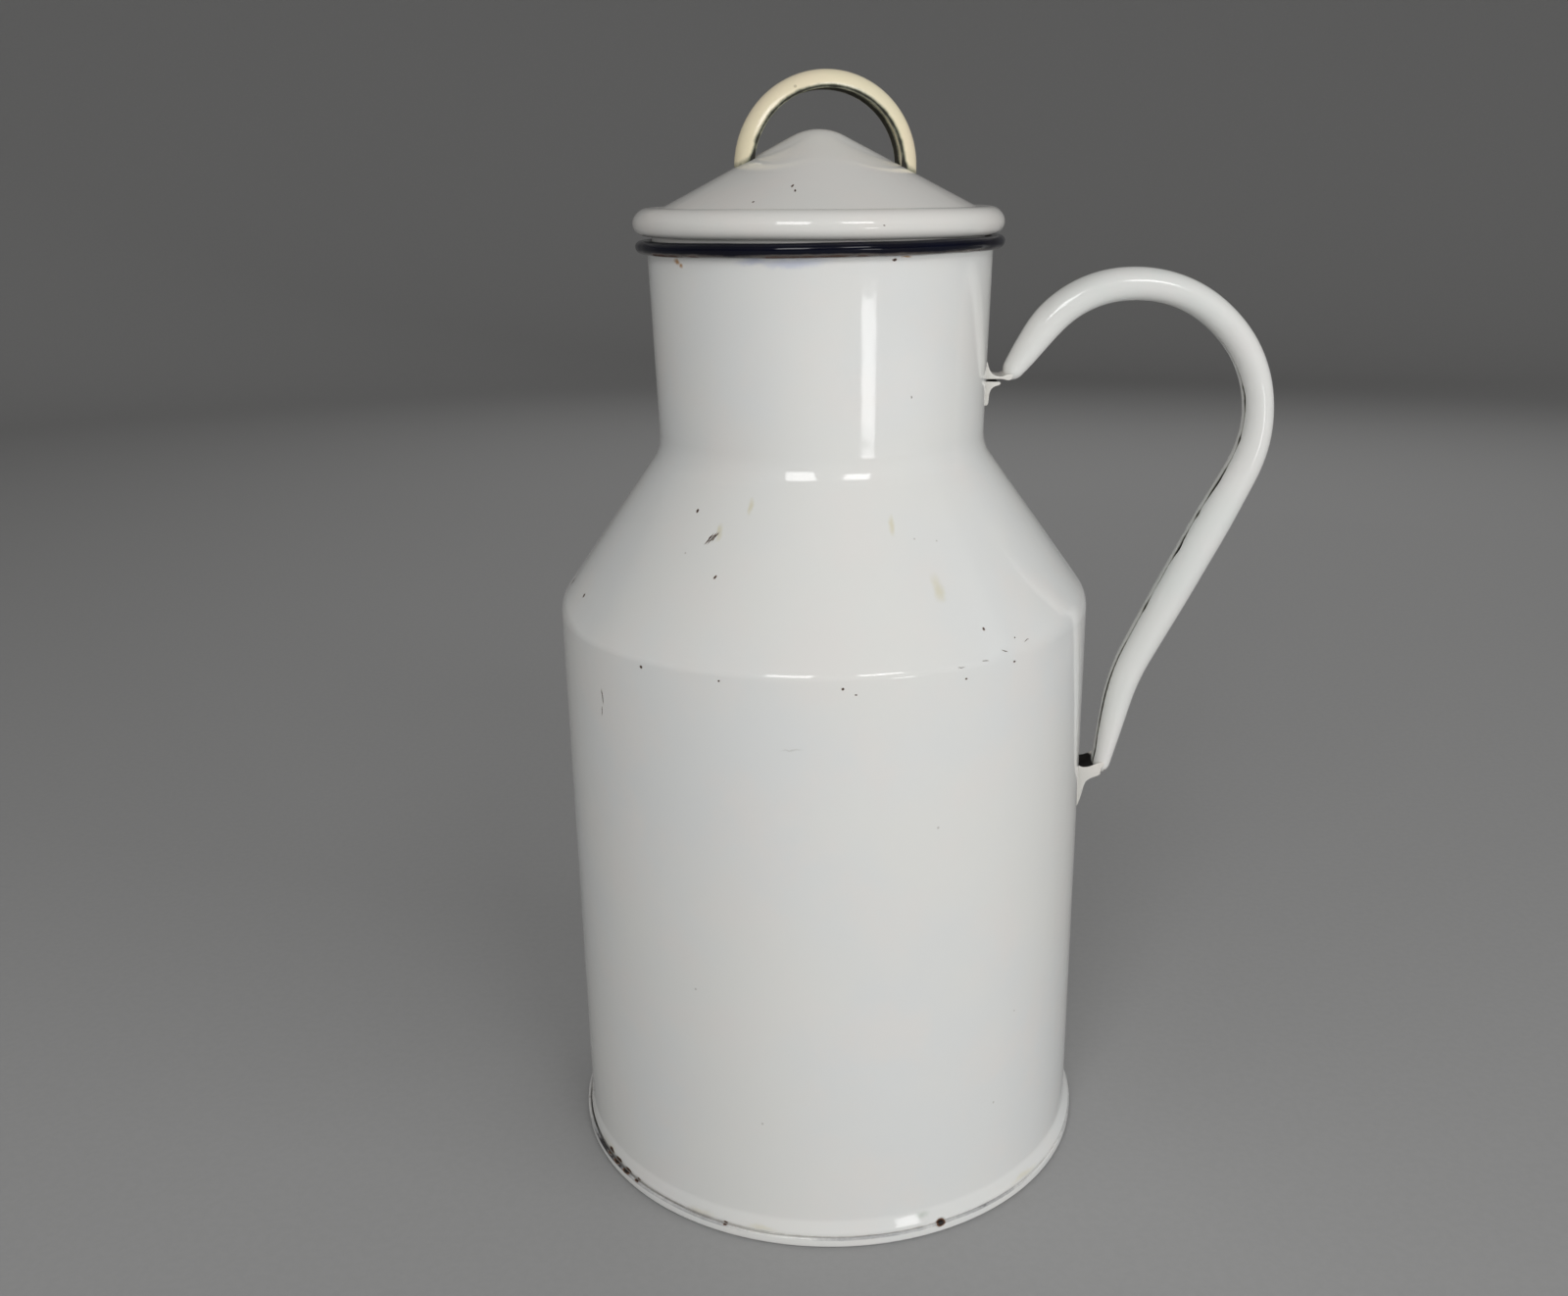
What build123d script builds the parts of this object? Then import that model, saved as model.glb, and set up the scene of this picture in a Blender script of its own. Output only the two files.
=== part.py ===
from build123d import *
import math
import os

# An enamelled steel milk pail with a side handle and a lift-off lid.
# Millimetres. Z is up, the pail's axis is Z, the side handle points to +X,
# and the origin is the centre of the ring that the pail stands on.

# Pail body
sheet = 1.2              # enamelled sheet of the wall, shoulder and bottom
body_radius = 100.0      # outside of the wall
wall_height = 222.5      # from the ground to the corner of wall and shoulder
shoulder_rise = 56.0     # from that corner to the foot of the neck
shoulder_round = 13.0    # outside radius of the corner
wall_seam_drop = 0.83    # the welded seam lies this far below the start of that round
neck_bend = 17.0         # outside radius of the hollow bend at the foot of the neck
neck_radius = 59.9       # outside, at the foot of the neck
neck_flare = 2.0         # how much wider the neck is at its top
neck_height = 70.7       # from the foot of the neck to its cut edge

# Foot
hem_overhang = 3.0       # how far the folded hem stands out past the wall
hem_height = 4.0
hem_round = 1.6
flare_height = 10.0      # the wall starts to flare at this height
flare_drop = 4.5         # the flare reaches its full width this far lower
base_recess = 9.0        # height of the bottom above the ground
base_round = 4.0
skirt_round = 1.8
wall_end_gap = 0.6       # from the wall's cut edge to the hem's floor

# Rolled rim
rim_bead_radius = 2.7
rim_wire_radius = 1.9
rim_bead_out = 1.6       # from the neck's outside to the middle of the bead
rim_bead_up = 1.3        # from the neck's cut edge to the middle of the bead

# Lid
lid_sheet = 1.0
lid_bead_radius = 5.0
lid_bead_inset = 2.2     # the lid's bead is this much smaller than the rim's bead
lid_seat_gap = 0.25      # between the two beads
lid_slope = 26.6         # degrees that the cone falls away from level
lid_crease = 125.0       # degrees round the bead where the cone meets it
lid_lap = 14.0           # degrees that the curl laps back under the cone
lid_curl_end = -100.0    # degrees round the bead where the curled edge ends
lid_tip_round = 20.0
collar_depth = 27.0      # how far the collar hangs below the middle of the bead
collar_clearance = 0.6   # from the collar to the inside of the neck

# Loop on the lid
loop_radius = 32.8       # outside of the bent strap
loop_width = 13.0
loop_depth = 5.8         # how thick the hollow strap stands
loop_sheet = 1.2
loop_sink = 12.7         # how far below the lid's tip the loop has its centre
loop_offset = 2.75       # the loop stands a little off the lid's axis
loop_turn = 9.0          # degrees that the loop is turned about the lid's axis

# Side handle, a tube rolled from sheet with an open seam on its inner side
grip_width = 15.0
grip_depth = 12.0
grip_sheet = 1.1
grip_seam = 2.5
grip_end_width = 13.0
grip_end_depth = 8.0
grip_pinch = 13.0        # length over which each end narrows
grip_upper_gap = 9.1     # from the neck to the upper end of the route
grip_lower_gap = 10.2    # from the wall to the lower end of the route
grip_upper_rise = 25.0   # upper end above the foot of the neck
grip_lower_drop = 73.6   # lower end below the corner of wall and shoulder
grip_reach = 72.2        # from the wall to the outermost corner of the route
grip_reach_drop = 7.1    # that corner is this far below the upper end
grip_crown_rise = 31.7   # the corner at the top of the handle, above the upper end
grip_crown_in = 40.8     # and how far it stands in from the outermost corner
grip_rise = 30.6         # the corner after the upper end, above that end
grip_rise_in = 81.0      # and how far it stands in from the outermost corner
grip_knee_rise = 36.7    # the corner before the lower end, above that end
grip_knee_out = 7.2      # and how far it stands out from that end
grip_bends = [38.7, 46.6, 47.6, 80.5]

# Brackets that carry the side handle
bracket_width = 14.0
bracket_pad = 2.0        # thickness of the pad that closes each end of the tube
tongue = 2.0             # thickness of the strip from the wall to the pad
leaf = 1.0               # thickness of the leaf that lies on the wall
upper_leaf_length = 12.5
upper_flange = 2.8       # how far the leaf's folded top stands out
upper_slot = 1.4         # open slot between the folded top and the tongue
lower_leaf_length = 13.0
lower_tongue_fall = 3.5  # the lower tongue falls this much towards the wall
lower_heel = 4.0         # how far the heel under the lower tongue stands out

# Heights and radii that follow
neck_foot_z = wall_height + shoulder_rise
shoulder_turn = math.atan2(body_radius - neck_radius, shoulder_rise)
seam_z = wall_height - shoulder_round * math.tan(shoulder_turn / 2) - wall_seam_drop
neck_top_z = neck_foot_z + neck_height
rim_ring_radius = neck_radius + neck_flare + rim_bead_out
rim_z = neck_top_z + rim_bead_up
lid_ring_radius = rim_ring_radius - lid_bead_inset
bead_distance = rim_bead_radius + lid_bead_radius + lid_seat_gap
lid_bead_z = rim_z + math.sqrt(bead_distance**2 - lid_bead_inset**2)
slope = math.radians(lid_slope)
crease_radius = lid_ring_radius + lid_bead_radius * math.cos(math.radians(lid_crease))
crease_z = lid_bead_z + lid_bead_radius * math.sin(math.radians(lid_crease))
cone_tip_z = crease_z + crease_radius * math.tan(slope)
tip_centre_z = cone_tip_z - lid_tip_round / math.cos(slope)
loop_centre_z = tip_centre_z + lid_tip_round - loop_sink
spill = 3.0              # how far raw shapes run into what they are then cut by


def neck_outside(height):
    """Outside radius of the neck at a height, along its straight flare."""
    return neck_radius + neck_flare * (height - neck_foot_z) / neck_height


def spin(outline):
    """Turn an outline, drawn as radius and height, once round the Z axis."""
    return revolve(Plane.XZ * outline, Axis.Z)


def ring(ring_radius, height, bead_radius):
    """A solid ring of round section."""
    return spin(Pos(ring_radius, height) * Circle(bead_radius))


def strip_of_sheet(line, thickness, side=Side.LEFT):
    """The cut section of a sheet, with one face along the line."""
    return make_face(line.offset_2d(thickness, side=side).edges())


def make_body_wall():
    """Rolled wall with the flared foot that the hem grips."""
    flare_radius = body_radius + hem_overhang - sheet
    line = FilletPolyline(
        (body_radius, seam_z),
        (body_radius, flare_height),
        (flare_radius, flare_height - flare_drop),
        (flare_radius, sheet + wall_end_gap),
        radius=[4 * sheet, 2 * sheet],
    )
    return spin(strip_of_sheet(Wire(line.edges()), sheet, Side.RIGHT))


def shoulder_line():
    """Outside of shoulder and neck, from the welded seam to the cut edge."""
    return Wire(
        FilletPolyline(
            (body_radius, seam_z),
            (body_radius, wall_height),
            (neck_radius, neck_foot_z),
            (neck_radius + neck_flare, neck_top_z),
            radius=[shoulder_round, neck_bend],
        ).edges()
    )


def make_shoulder_neck():
    """Spun shoulder and neck, its top edge trimmed to the rolled rim."""
    shell = spin(strip_of_sheet(shoulder_line(), sheet))
    return shell - ring(rim_ring_radius, rim_z, rim_bead_radius)


def make_rim_curl():
    """Rolled rim, closed round its wire."""
    curl = Circle(rim_bead_radius) - Circle(rim_wire_radius)
    return spin(Pos(rim_ring_radius, rim_z) * curl)


def make_rim_wire():
    """Steel wire inside the rolled rim."""
    return ring(rim_ring_radius, rim_z, rim_wire_radius)


def make_base_plate():
    """Raised bottom whose edge runs down, out and up round the wall's foot."""
    skirt_radius = body_radius - 2 * sheet
    line = FilletPolyline(
        (0, base_recess),
        (skirt_radius, base_recess),
        (skirt_radius, 0),
        (body_radius + hem_overhang, 0),
        (body_radius + hem_overhang, hem_height),
        radius=[base_round, skirt_round, hem_round],
    )
    return spin(strip_of_sheet(Wire(line.edges()), sheet))


def lid_section():
    """Section of the lid: rounded tip, cone and curled edge."""
    tip_angle = 90 - lid_slope
    reach = (lid_ring_radius - lid_tip_round * math.sin(slope)) / math.cos(slope)
    outside = CenterArc((0, tip_centre_z), lid_tip_round, tip_angle, lid_slope)
    inside = CenterArc((0, tip_centre_z), lid_tip_round - lid_sheet, tip_angle, lid_slope)
    edge_out = PolarLine(outside @ 0, reach, -lid_slope)
    edge_in = PolarLine(inside @ 0, reach, -lid_slope)
    end = Line(edge_out @ 1, edge_in @ 1)
    axis = Line(outside @ 1, inside @ 1)
    cone = make_face([outside, edge_out, end, edge_in, inside, axis])
    middle = Pos(lid_ring_radius, lid_bead_z)
    hollow = lid_bead_radius - lid_sheet
    start = lid_crease + lid_lap
    arc_out = CenterArc((0, 0), lid_bead_radius, start, lid_curl_end - start)
    arc_in = CenterArc((0, 0), hollow, start, lid_curl_end - start)
    ends = [Line(arc_out @ 0, arc_in @ 0), Line(arc_out @ 1, arc_in @ 1)]
    curl = middle * make_face([arc_out, arc_in, *ends])
    return cone - middle * Circle(lid_bead_radius) + curl


def make_lid_cover():
    """Pressed cone with its edge curled into a hollow bead."""
    return spin(lid_section())


def make_lid_collar():
    """Collar that hangs in the neck, cut to the underside of the cover."""
    bottom = lid_bead_z - collar_depth
    outside = neck_outside(bottom) - sheet - collar_clearance
    top = cone_tip_z - (outside - lid_sheet) * math.tan(slope) - lid_sheet / 2
    band = Pos(outside - lid_sheet / 2, (bottom + top) / 2) * Rectangle(lid_sheet, top - bottom)
    pieces = spin(band - lid_section()).solids()
    return pieces.sort_by(Axis.Z)[0]


def strap_section():
    """Hollow half-round section of the lid's loop, its open side facing inwards."""
    outside = ((loop_width / 2) ** 2 + loop_depth**2) / (2 * loop_depth)
    centre = Pos(loop_radius - outside, 0)
    chord = loop_radius - loop_depth + loop_width
    shell = centre * (Circle(outside) - Circle(outside - loop_sheet))
    return shell & Pos(chord, 0) * Rectangle(2 * loop_width, 2 * loop_width)


def make_lid_loop():
    """Bent strap with two legs, their feet cut to the lid's cone."""
    bend_axis = Axis((0, 0, 0), (0, -1, 0))
    arch = revolve(strap_section(), bend_axis, 180)
    leg = extrude(strap_section(), -loop_sink)
    legs = leg + leg.rotate(Axis.Z, 180)
    loop = Pos(loop_offset, 0, loop_centre_z) * (arch + legs)
    below = spin(make_face(Polyline(
        (0, 0), (0, cone_tip_z), (2 * crease_radius, cone_tip_z - 2 * crease_radius * math.tan(slope)),
        (2 * crease_radius, 0), close=True)))
    return (loop - below).rotate(Axis.Z, loop_turn)


def grip_route(inset=0):
    """Middle line of the side handle, both its ends drawn back by the inset."""
    upper_z = neck_foot_z + grip_upper_rise
    lower_z = wall_height - grip_lower_drop
    outer_x = body_radius + grip_reach
    lower_x = body_radius + grip_lower_gap
    corners = [
        Vector(neck_outside(upper_z) + grip_upper_gap, 0, upper_z),
        Vector(outer_x - grip_rise_in, 0, upper_z + grip_rise),
        Vector(outer_x - grip_crown_in, 0, upper_z + grip_crown_rise),
        Vector(outer_x, 0, upper_z - grip_reach_drop),
        Vector(lower_x + grip_knee_out, 0, lower_z + grip_knee_rise),
        Vector(lower_x, 0, lower_z),
    ]
    corners[0] += (corners[1] - corners[0]).normalized() * inset
    corners[-1] += (corners[-2] - corners[-1]).normalized() * inset
    return Wire(FilletPolyline(*corners, radius=grip_bends).edges())


def across(place, direction):
    """Plane across the tube, its first axis along the tube's width."""
    return Plane(origin=place, x_dir=(0, 1, 0), z_dir=direction)


def tube_end(start, finish, thinner):
    """One end of the tube, from its full section to its pinched one."""
    full = start * SlotOverall(grip_width - thinner, grip_depth - thinner)
    pinched = finish * SlotOverall(grip_end_width - thinner, grip_end_depth - thinner)
    return loft([*full.faces(), *pinched.faces()])


def make_grip_tube():
    """Rolled tube with an open seam on the side that faces the pail."""
    whole = grip_route()
    middle = grip_route(grip_pinch)
    thinner = 2 * grip_sheet
    section = SlotOverall(grip_width, grip_depth) - SlotOverall(grip_width - thinner, grip_depth - thinner)
    section -= Pos(0, -grip_depth / 2) * Rectangle(grip_seam, grip_depth / 2)
    tube = sweep(across(middle @ 0, middle % 0) * section, path=middle)
    for end in (0, 1):
        start = across(middle @ end, middle % end)
        finish = across(whole @ end, middle % end)
        shell = tube_end(start, finish, 0) - tube_end(start, finish, thinner)
        seam = Pos(0, -grip_depth / 2, 0) * Box(grip_seam, grip_depth / 2, 3 * grip_pinch)
        tube += shell - start * seam
    return tube


def end_pad(end):
    """Pad that closes one end of the tube."""
    route = grip_route()
    outwards = (route % end) * (-1 if end == 0 else 1)
    outline = SlotOverall(grip_end_width, grip_end_depth)
    return extrude(across(route @ end, outwards) * outline, bracket_pad)


def slab(*points):
    """A plate as wide as a bracket, with a side outline of X and Z points."""
    outline = Plane.XZ * make_face(Polyline(*points, close=True))
    return extrude(outline, bracket_width / 2, both=True)


def make_upper_bracket():
    """Leaf on the neck, a folded top, and a tongue out to the tube's end."""
    end = grip_route() @ 0
    pad_z = end.Z - bracket_pad / 2
    wall = neck_outside(pad_z)
    low, high = pad_z - tongue / 2, pad_z + tongue / 2
    leaf_top = low - upper_slot
    strip = slab((wall - spill, low), (end.X, low), (end.X, high), (wall - spill, high))
    plate = slab(
        (wall - spill, leaf_top - upper_leaf_length),
        (wall + leaf / 2, leaf_top - upper_leaf_length),
        (wall + upper_flange, leaf_top),
        (wall + leaf, leaf_top),
        (wall + leaf, high),
        (wall - spill, high),
    )
    neck = spin(make_face(Polyline(
        (0, neck_foot_z), (neck_outside(neck_foot_z), neck_foot_z),
        (neck_outside(neck_top_z), neck_top_z), (0, neck_top_z), close=True)))
    return end_pad(0) + (strip + plate - neck - make_grip_tube())


def make_lower_bracket():
    """Leaf on the wall, a heel, and a sloping tongue up to the tube's end."""
    end = grip_route() @ 1
    low = end.Z - bracket_pad
    wall_z = end.Z - lower_tongue_fall
    foot = wall_z - lower_leaf_length
    wedge = slab(
        (body_radius - spill, foot),
        (body_radius + leaf / 2, foot),
        (body_radius + lower_heel, wall_z - tongue),
        (end.X, low),
        (end.X, low + tongue),
        (body_radius - spill, wall_z),
    )
    wall = Cylinder(body_radius, 2 * wall_height)
    return end_pad(1) + (wedge - wall - make_grip_tube())


parts = {
    "body_wall": make_body_wall,
    "shoulder_neck": make_shoulder_neck,
    "rim_curl": make_rim_curl,
    "rim_wire": make_rim_wire,
    "base_plate": make_base_plate,
    "lid_cover": make_lid_cover,
    "lid_collar": make_lid_collar,
    "lid_loop": make_lid_loop,
    "grip_tube": make_grip_tube,
    "upper_bracket": make_upper_bracket,
    "lower_bracket": make_lower_bracket,
}

os.makedirs("parts", exist_ok=True)
for name, make in parts.items():
    solid = make()
    export_step(solid, f"parts/{name}.step")
    print(name, len(solid.solids()), round(solid.volume), solid.bounding_box())
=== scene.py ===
import bpy
import math
import numpy as np
from mathutils import Matrix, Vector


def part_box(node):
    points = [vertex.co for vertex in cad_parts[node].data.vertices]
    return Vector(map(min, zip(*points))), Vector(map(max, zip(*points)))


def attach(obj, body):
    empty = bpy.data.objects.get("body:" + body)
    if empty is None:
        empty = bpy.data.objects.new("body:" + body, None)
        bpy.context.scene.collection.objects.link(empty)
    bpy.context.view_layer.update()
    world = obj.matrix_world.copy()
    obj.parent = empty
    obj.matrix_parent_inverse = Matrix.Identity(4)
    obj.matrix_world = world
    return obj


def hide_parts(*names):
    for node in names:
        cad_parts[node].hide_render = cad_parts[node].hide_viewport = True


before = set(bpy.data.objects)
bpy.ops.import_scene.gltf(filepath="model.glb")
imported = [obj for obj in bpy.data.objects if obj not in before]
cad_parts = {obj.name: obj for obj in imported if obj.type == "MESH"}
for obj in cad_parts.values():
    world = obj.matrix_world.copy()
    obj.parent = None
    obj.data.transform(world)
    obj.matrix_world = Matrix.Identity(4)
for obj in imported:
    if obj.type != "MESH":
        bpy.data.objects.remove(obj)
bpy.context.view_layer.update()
mm = 0.001  # sizes in the dictionaries below are in millimetres, angles in degrees
print("frame loaded:", len(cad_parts), "nodes")


def corners(node):
    low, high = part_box(node)
    return np.array(low), np.array(high)


# places that the frame gives, in metres
bodyRadius = corners("shoulder_neck")[1][0]
seamHeight = corners("body_wall")[1][2]
hemRadius = corners("base_plate")[1][0]
rimLow, rimHigh = corners("rim_curl")
rimBead = (rimHigh[2] - rimLow[2]) / 2
rimHeight = (rimHigh[2] + rimLow[2]) / 2
rimRing = rimHigh[0] - rimBead
lidLow, lidHigh = corners("lid_cover")
collarLow, collarHigh = corners("lid_collar")
loopTop = corners("lid_loop")[1][2]


def arc(centre, radius, start, end, count):
    # points on a circle, evenly spaced from the start angle to the end angle
    angles = np.radians(np.linspace(start, end, count))
    return np.c_[centre[0] + radius * np.cos(angles), centre[1] + radius * np.sin(angles)]


def route(cornerPoints, radii, runCounts, bendCounts):
    # straight runs from corner to corner, each corner cut off by the arc that touches both of its runs,
    # at a distance from the corner of the radius over the tangent of half the corner's angle
    points = np.array(cornerPoints, float)
    pieces = []
    begin = points[0]
    for index, radius in enumerate(radii, start=1):
        back = points[index - 1] - points[index]
        ahead = points[index + 1] - points[index]
        back /= np.linalg.norm(back)
        ahead /= np.linalg.norm(ahead)
        half = math.acos(float(np.clip(back @ ahead, -1, 1))) / 2
        touch = radius / math.tan(half)
        start = points[index] + back * touch
        finish = points[index] + ahead * touch
        middle = points[index] + (back + ahead) / np.linalg.norm(back + ahead) * radius / math.sin(half)
        first = math.degrees(math.atan2(start[1] - middle[1], start[0] - middle[0]))
        last = math.degrees(math.atan2(finish[1] - middle[1], finish[0] - middle[0]))
        last = first + (last - first + 180) % 360 - 180
        pieces.append(np.linspace(begin, start, runCounts[index - 1])[:-1])
        pieces.append(arc(middle, radius, first, last, bendCounts[index - 1])[:-1])
        begin = finish
    pieces.append(np.linspace(begin, points[-1], runCounts[-1]))
    return np.vstack(pieces)


def travelled(line):
    # distance gone along a line at each of its points
    return np.r_[0, np.cumsum(np.linalg.norm(np.diff(line, axis=0), axis=1))]


def evenly(line, step):
    # the same line with its points about one step apart
    gone = travelled(line)
    places = np.linspace(0, gone[-1], int(gone[-1] / step) + 2)
    return np.stack([np.interp(places, gone, line[:, axis]) for axis in range(line.shape[1])], axis=1)


def softened(line, reach):
    # each point becomes the mean of its neighbours within reach, and both ends stay where they are
    padded = np.vstack([2 * line[0] - line[reach:0:-1], line, 2 * line[-1] - line[-2:-reach - 2:-1]])
    kernel = np.ones(2 * reach + 1) / (2 * reach + 1)
    return np.stack([np.convolve(padded[:, axis], kernel, "valid") for axis in range(line.shape[1])], axis=1)


def leftOf(line):
    # unit vectors that point to the left of the line's run
    run = np.gradient(line, axis=0)
    run /= np.linalg.norm(run, axis=1, keepdims=True)
    return np.c_[-run[:, 1], run[:, 0]]


def sheetLoop(line, thickness, rounding=0):
    # outline of a sheet: the line, its ends turned by half circles, and its copy one thickness to the left
    normals = leftOf(line)
    inner = line + normals * thickness
    if not rounding:
        return np.vstack([line, inner[::-1]])
    swing = np.radians(np.linspace(0, 180, rounding + 2)[1:-1])[:, None]
    halves = []
    for end, turn in ((-1, 1), (0, -1)):
        ahead = np.array([normals[end][1], -normals[end][0]]) * turn
        middle = (line[end] + inner[end]) / 2
        halves.append(middle + thickness / 2 * (ahead * np.sin(swing) - turn * normals[end] * np.cos(swing)))
    return np.vstack([line, halves[0], inner[::-1], halves[1]])


def gridFaces(rows, columns, wrapRows):
    # the cells of a grid whose last column joins its first, and whose last row may join its first too
    row = np.arange(rows if wrapRows else rows - 1)
    first, second = (grid.ravel() for grid in np.meshgrid(row, np.arange(columns), indexing="ij"))
    nextRow = (first + 1) % rows
    nextColumn = (second + 1) % columns
    return np.stack([first * columns + second, first * columns + nextColumn,
                     nextRow * columns + nextColumn, nextRow * columns + second], axis=1)


def closed(points, ends):
    # a grid's faces and what shuts both its ends: nothing, a fan to a pole, or one flat face; where the volume,
    # the sum of corners dotted with the cross product of the next two, is below nought, every face is turned over
    rows, columns = points.shape[:2]
    points = points.reshape(-1, 3)
    faces = gridFaces(rows, columns, ends == "none")
    ring = np.arange(columns)
    base = (rows - 1) * columns
    shut = []
    if ends == "poles":
        poles = np.array([points[:columns].mean(axis=0), points[base:base + columns].mean(axis=0)])
        points = np.vstack([points, poles])
        follow = (ring + 1) % columns
        low = np.stack([follow, ring, np.full(columns, len(points) - 2)], axis=1)
        high = np.stack([base + ring, base + follow, np.full(columns, len(points) - 1)], axis=1)
        shut = low.tolist() + high.tolist()
    if ends == "flat":
        shut = [ring[::-1].tolist(), (base + ring).tolist()]
    a, b, c, d = (points[faces[:, index]] for index in range(4))
    volume = np.sum(a * np.cross(b, c)) + np.sum(a * np.cross(c, d))
    everyFace = faces.tolist() + shut
    if volume < 0:
        everyFace = [face[::-1] for face in everyFace]
    return points, everyFace


def together(parts):
    # several shapes as one: their points in a row, their face numbers moved on
    points, faces = [], []
    for somePoints, someFaces in parts:
        shift = sum(len(each) for each in points)
        faces += [[index + shift for index in face] for face in someFaces]
        points.append(somePoints)
    return np.vstack(points), faces


def standing(x, y, z, place):
    # a matrix whose columns are three directions and a place
    matrix = np.eye(4)
    matrix[:3] = np.column_stack([x, y, z, place])
    return Matrix(matrix.tolist())


def placed(name, data):
    thing = bpy.data.objects.new(name, data)
    bpy.context.scene.collection.objects.link(thing)
    return thing


def makePiece(name, shape, body, replaced, material, wearAndShade=None, sharp=40):
    # a smooth-shaded piece with its wear, and on some pieces painted shade, as a point attribute, its body, the
    # node it replaces and its slot
    points, faces = shape
    mesh = bpy.data.meshes.new(name)
    mesh.from_pydata(points.tolist(), [], faces)
    mesh.update()
    mesh.shade_smooth()
    mesh.set_sharp_from_angle(angle=math.radians(sharp))
    values = np.zeros(len(points))
    if wearAndShade is not None:
        values[:wearAndShade.size] = wearAndShade.ravel()
    mesh.attributes.new("wearAndShade", "FLOAT", "POINT").data.foreach_set("value", values.astype(np.float32))
    mesh.materials.append(material)
    piece = placed(name, mesh)
    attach(piece, body)
    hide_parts(replaced)
    print("made", name, "with", len(faces), "faces")


def turnedGrid(outline, columns):
    # a profile carried round the Z axis: grids of radius, angle and height
    angle = np.linspace(-np.pi, np.pi, columns, endpoint=False)[None, :]
    ones = np.ones((len(outline), columns))
    return outline[:, 0][:, None] * ones, angle * ones, outline[:, 1][:, None] * ones


def roundPoints(radius, angle, height):
    # X is the radius times the angle's cosine, Y the radius times its sine, and Z the height
    return np.stack([radius * np.cos(angle), radius * np.sin(angle), height], axis=-1)


def hill(value, centre, width):
    # bell curve one high: e to the power of minus the square of the distance over the width
    return np.exp(-((value - centre) / width) ** 2)


def turnHill(angle, centre, width):
    # the same hill round the axis
    away = (np.degrees(angle) - centre + 180) % 360 - 180
    return np.exp(-(away / width) ** 2)


def patchesRound(angle, rows):
    # a sum of hills round the axis, each row an angle, a half width in degrees and a height
    return sum(turnHill(angle, turn, wide) * high for turn, wide, high in rows)


def ripples(angle, rows):
    # a sum of sines, each row the waves in one turn, where they start and their height
    return sum(high * np.sin(count * angle + start) for count, start, high in rows)


def ease(value):
    # smooth step from nought to one: three times the square less twice the cube
    value = np.clip(value, 0, 1)
    return value * value * (3 - 2 * value)


class NodeSet:
    # a material's nodes, with short ways to add and join them
    dotEdge = 0.004  # how softly a cell is chosen
    dotCore = 0.6  # share of a dot that has its full strength

    def __init__(self, name):
        self.material = bpy.data.materials.new(name)
        self.material.use_nodes = True
        self.tree = self.material.node_tree
        self.tree.nodes.clear()
        self.shader = self.add("ShaderNodeBsdfPrincipled")
        output = self.add("ShaderNodeOutputMaterial")
        self.tree.links.new(self.shader.outputs["BSDF"], output.inputs["Surface"])
        self.place = self.add("ShaderNodeTexCoord").outputs["Object"]

    def add(self, kind, inputs=(), **settings):
        # a node with its settings, its inputs fed by number or name
        node = self.tree.nodes.new(kind)
        for key, value in settings.items():
            setattr(node, key, value)
        self.feed(node, dict(inputs))
        return node

    def feed(self, node, inputs):
        for key, value in inputs.items():
            if isinstance(value, bpy.types.NodeSocket):
                self.tree.links.new(value, node.inputs[key])
            elif value is not None:
                node.inputs[key].default_value = value

    def noise(self, scale, detail=3.0, roughness=0.55, output="Fac"):
        inputs = {"Scale": scale, "Detail": detail, "Roughness": roughness, "Vector": self.place}
        return self.add("ShaderNodeTexNoise", inputs).outputs[output]

    def math(self, operation, first, second):
        return self.add("ShaderNodeMath", {0: first, 1: second}, operation=operation).outputs[0]

    def vector(self, operation, first, second=None, scale=None):
        node = self.add("ShaderNodeVectorMath", {0: first, 1: second, "Scale": scale}, operation=operation)
        return node.outputs["Value" if operation == "LENGTH" else 0]

    def span(self, value, low, high, outLow=0.0, outHigh=1.0):
        # the value brought from low..high to outLow..outHigh, smoothly, and held at both ends
        inputs = {"Value": value, "From Min": low, "From Max": high, "To Min": outLow, "To Max": outHigh}
        return self.add("ShaderNodeMapRange", inputs, interpolation_type="SMOOTHSTEP").outputs["Result"]

    def blend(self, share, first, second):
        return self.add("ShaderNodeMix", {0: share, 6: first, 7: second}, data_type="RGBA").outputs[2]

    def stirred(self, scale, amount):
        # Object coordinates pushed about by noise, so that an edge drawn with them comes out ragged
        push = self.vector("SUBTRACT", self.noise(scale, 4.0, 0.6, "Color"), (0.5, 0.5, 0.5))
        return self.vector("ADD", self.place, self.vector("SCALE", push, scale=amount))

    def nearest(self, spots, vector):
        # distance from each spot's middle over its half sizes, and the least of them: under one is inside a spot
        least = None
        for spot in spots:
            node = self.add("ShaderNodeMapping", {"Vector": vector, **spot}, vector_type="TEXTURE")
            length = self.vector("LENGTH", node.outputs[0])
            least = length if least is None else self.math("MINIMUM", least, length)
        return least

    def dots(self, scale, share, size):
        # one dot in some of the cells of a cell pattern, size being its radius over a cell
        cells = self.add("ShaderNodeTexVoronoi", {"Vector": self.place, "Scale": scale}, feature="F1")
        chance = self.add("ShaderNodeSeparateColor", {0: cells.outputs["Color"]}).outputs[0]
        chosen = self.span(chance, 1 - share, 1 - share + self.dotEdge)
        inside = self.span(cells.outputs["Distance"], size * self.dotCore, size, 1.0, 0.0)
        return self.math("MULTIPLY", chosen, inside)

    def bump(self, strength, distance, height, normal=None):
        inputs = {"Strength": strength, "Distance": distance * mm, "Height": height, "Normal": normal}
        return self.add("ShaderNodeBump", inputs).outputs[0]


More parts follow.
